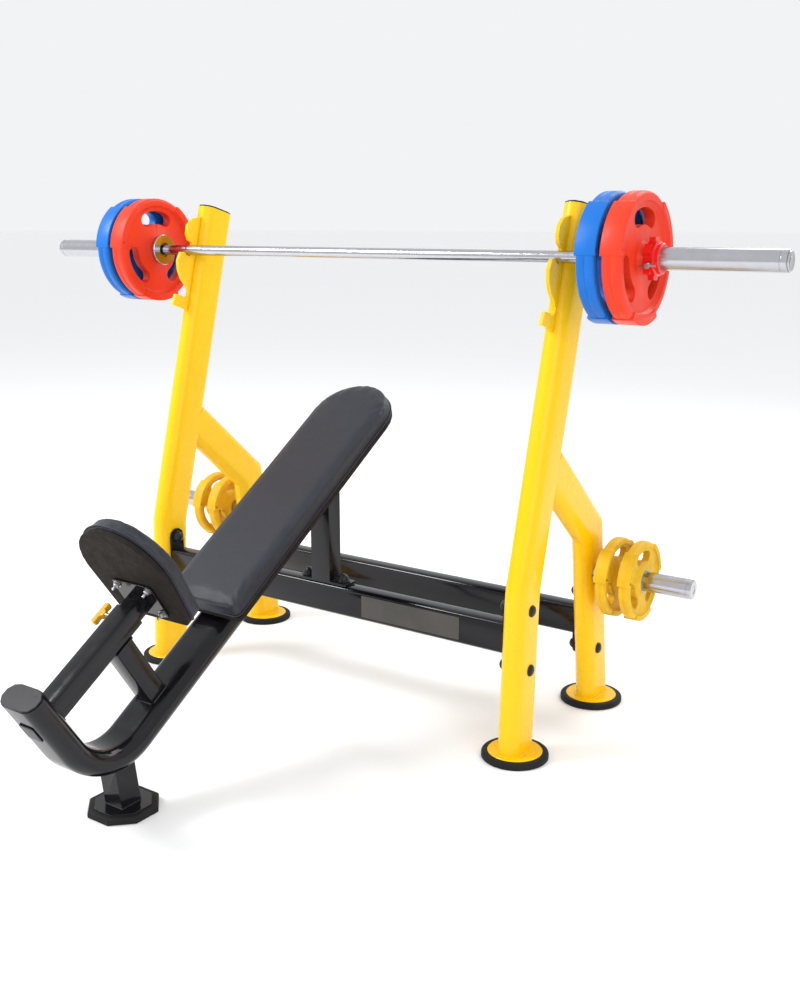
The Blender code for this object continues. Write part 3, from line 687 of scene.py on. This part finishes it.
def make_collar(side, out):
    """Collar of six lobes with a stepped nose."""
    middle = abs(centre("collar_" + side).x)
    lobe, valley, bore = 0.046, 0.038, 0.0253
    outline = []
    for turn in range(0, 360, 60):
        outline += arc(0, 0, lobe, turn - 13, turn + 13, 8)
        outline += arc(0, 0, valley, turn + 19, turn + 41, 6)
    holes = arc(0, 0, bore, 0, 354, 59)
    star = prism("collar_star_" + side, [outline, holes], 0.014, out @ at(z=middle - 0.008), 0.0015)
    dress(star, "red_plastic", "sleeve_unit_" + side, "collar_" + side)
    front, back = middle + 0.015, middle - 0.0005
    nose = [(0.0254, front), (0.0315, front), (0.033, front - 0.0015), (0.033, middle + 0.006),
            (0.0375, middle + 0.004), (0.0375, back), (0.0254, back)]
    dress(turned("collar_nose_" + side, nose, out, 64, True), "red_plastic", "sleeve_unit_" + side)


def make_horn(side, hand):
    """Storage horn: root flange, rod, snap-ring groove and a dished end."""
    low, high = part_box("storage_horn_" + side)
    start, end = sorted((abs(low.x), abs(high.x)))
    rod, groove, root = SLEEVE_RADIUS, SLEEVE_RADIUS - 0.0007, 0.034
    profile = [(0, end - 0.0015), (0.010, end - 0.0015), (0.0115, end), (rod - 0.0025, end),
               (rod, end - 0.0025), (rod, end - 0.010), (groove, end - 0.0105), (groove, end - 0.012),
               (rod, end - 0.0125), (rod, start + 0.009), (rod + 0.003, start + 0.006),
               (root - 0.001, start + 0.006), (root, start + 0.005), (root, start), (0, start)]
    horn = turned("storage_horn_rod_" + side, profile, at(0, HORN.y, HORN.z) @ facing(hand), 64)
    dress(horn, "chrome", "frame", "storage_horn_" + side)


def make_bar():
    make_shaft()
    for side, hand in SIDES:
        out = at(0, BAR.y, BAR.z) @ facing(hand)
        make_sleeve(side, out)
        make_sleeve_end(side, out)
        make_collar(side, out)
        make_horn(side, hand)


# ---------------------------------------------------------------- cushions

def back_outline(inset):
    half, low, corner = BACK_HALF - inset, BACK_START + inset, 0.018
    points = arc(-half + corner, low + corner, corner, 180, 270, 8)
    points += arc(half - corner, low + corner, corner, 270, 360, 8)
    return points + arc(0, BACK_END - BACK_HALF, half, 0, 180, 28)


def seat_outline(inset):
    """D shape, a little narrower at its low end."""
    half, low, corner = SEAT_HALF - 0.015 - inset, SEAT_LOW + inset, 0.020
    points = arc(-half + corner, low + corner, corner, 185, 270, 8)
    points += arc(half - corner, low + corner, corner, 270, 355, 8)
    return points + arc(0, SEAT_HIGH - SEAT_HALF, SEAT_HALF - inset, 0, 180, 28)


def remesh_evenly(pad, voxel):
    remesh = pad.modifiers.new("remesh", "REMESH")
    remesh.mode = "VOXEL"
    remesh.voxel_size = voxel
    apply_modifiers(pad)


def puff(pad, floor, cap):
    """Inflates a pad with cloth pressure. Points under the floor stay put and none moves past the cap."""
    start = [v.co.copy() for v in pad.data.vertices]
    pinned = pad.vertex_groups.new(name="board_side")
    pinned.add([i for i, co in enumerate(start) if co.z < floor], 1.0, "REPLACE")
    cloth = pad.modifiers.new("cloth", "CLOTH")
    cloth.settings.quality = 5
    cloth.settings.mass = 0.3
    cloth.settings.tension_stiffness = 25
    cloth.settings.compression_stiffness = 25
    cloth.settings.use_pressure = True
    cloth.settings.uniform_pressure_force = 4.0
    cloth.settings.vertex_group_mass = "board_side"
    cloth.settings.effector_weights.gravity = 0.0
    for step in range(1, 21):
        scene.frame_set(step)
    moved = baked(pad)
    pad.modifiers.clear()
    for vertex, before in zip(moved.vertices, start):
        shift = vertex.co - before
        if shift.length > cap:
            vertex.co = before + shift.normalized() * cap
    pad.data = moved
    scene.frame_set(1)


def cushion(name, outline, place, node, body):
    """A crowned pad over its board, with a seam round its side."""
    inset, slack, sink, edge = 0.0015, 0.003, 0.0012, 0.007
    pad = prism(name, [outline(inset)], CUSHION - slack, at(z=CUSHION / 2 - sink), edge)
    apply_modifiers(pad)
    remesh_evenly(pad, 0.005)
    puff(pad, floor=0.004, cap=0.0045)
    smooth = pad.modifiers.new("relax", "SMOOTH")
    smooth.factor = 0.5
    smooth.iterations = 4
    finer = pad.modifiers.new("finer", "SUBSURF")
    finer.levels = 1
    finer.render_levels = 1
    apply_modifiers(pad)
    pad.data.transform(place)
    shaded(pad.data, 180)
    dress(pad, "vinyl", body, node)
    piping = arc(0, 0, 0.0017, 0, 330, 11)
    dress(sweep(name + "_seam", outline(inset), piping, place @ at(z=0.006), True), "vinyl", body)


def make_cushions():
    on_back = on_slope(m=BACK_TOP - CUSHION)
    cushion("back_cushion_pad", back_outline, on_back, "back_cushion", "frame")
    on_seat = on_slope(c=SEAT_FACE - CUSHION) @ AS_XZ @ Matrix.Rotation(math.pi, 4, "Y")
    cushion("seat_cushion_pad", seat_outline, on_seat, "seat_cushion", "seat")


# ---------------------------------------------------------------- studio

def make_floor():
    bpy.ops.mesh.primitive_plane_add(size=300)
    floor = bpy.context.object
    floor.name = "studio_floor"
    white = bpy.data.materials.new("studio_white")
    white.use_nodes = True
    shader = white.node_tree.nodes["Principled BSDF"]
    shader.inputs["Base Color"].default_value = (0.965, 0.965, 0.965, 1)
    shader.inputs["Roughness"].default_value = 0.9
    shader.inputs["Specular IOR Level"].default_value = 0.1
    floor.data.materials.append(white)


# Name, place, size and watts of each lamp; all are aimed at the middle of the bench
LAMPS = (
    ("key", (-3.2, -2.6, 4.2), 1.6, 190),
    ("fill", (3.6, -2.4, 2.4), 3.0, 45),
    ("rim", (0.8, 3.4, 3.6), 2.5, 70),
)
LAMP_TARGET = Vector((0, 0, 0.6))


def make_light():
    """A pale sky all round and three soft lamps."""
    world = bpy.data.worlds.new("studio_air")
    scene.world = world
    world.use_nodes = True
    sky = world.node_tree.nodes["Background"]
    sky.inputs["Color"].default_value = (0.96, 0.975, 0.99, 1)
    sky.inputs["Strength"].default_value = 0.92
    for name, spot, size, power in LAMPS:
        light = bpy.data.lights.new(name, "AREA")
        light.size = size
        light.energy = power
        lamp = linked(name, light)
        lamp.location = spot
        lamp.rotation_euler = (LAMP_TARGET - Vector(spot)).to_track_quat("-Z", "Y").to_euler()
    scene.view_settings.view_transform = "Standard"


def make_camera():
    camera = bpy.data.cameras.new("camera")
    camera.sensor_fit = "VERTICAL"
    camera.sensor_height = 36
    camera.lens = 41.22
    camera.shift_x = 0.0013
    camera.shift_y = 0.0048
    eye = linked("camera", camera)
    eye.location = (1.7916, -2.0011, 1.2441)
    eye.rotation_euler = (math.radians(76.177), 0, math.radians(34.752))
    scene.camera = eye


# ---------------------------------------------------------------- build

make_floor()
make_light()
make_camera()
make_legs()
make_spine()
make_softened()
make_rail_bolts()
make_post_nuts()
make_seat_bolts()
make_plaque()
make_plates()
make_bar()
make_cushions()
for node, obj in frame["nodes"].items():
    obj.data.materials.clear()
    obj.data.materials.append(LOOKS[SLOTS[node]])
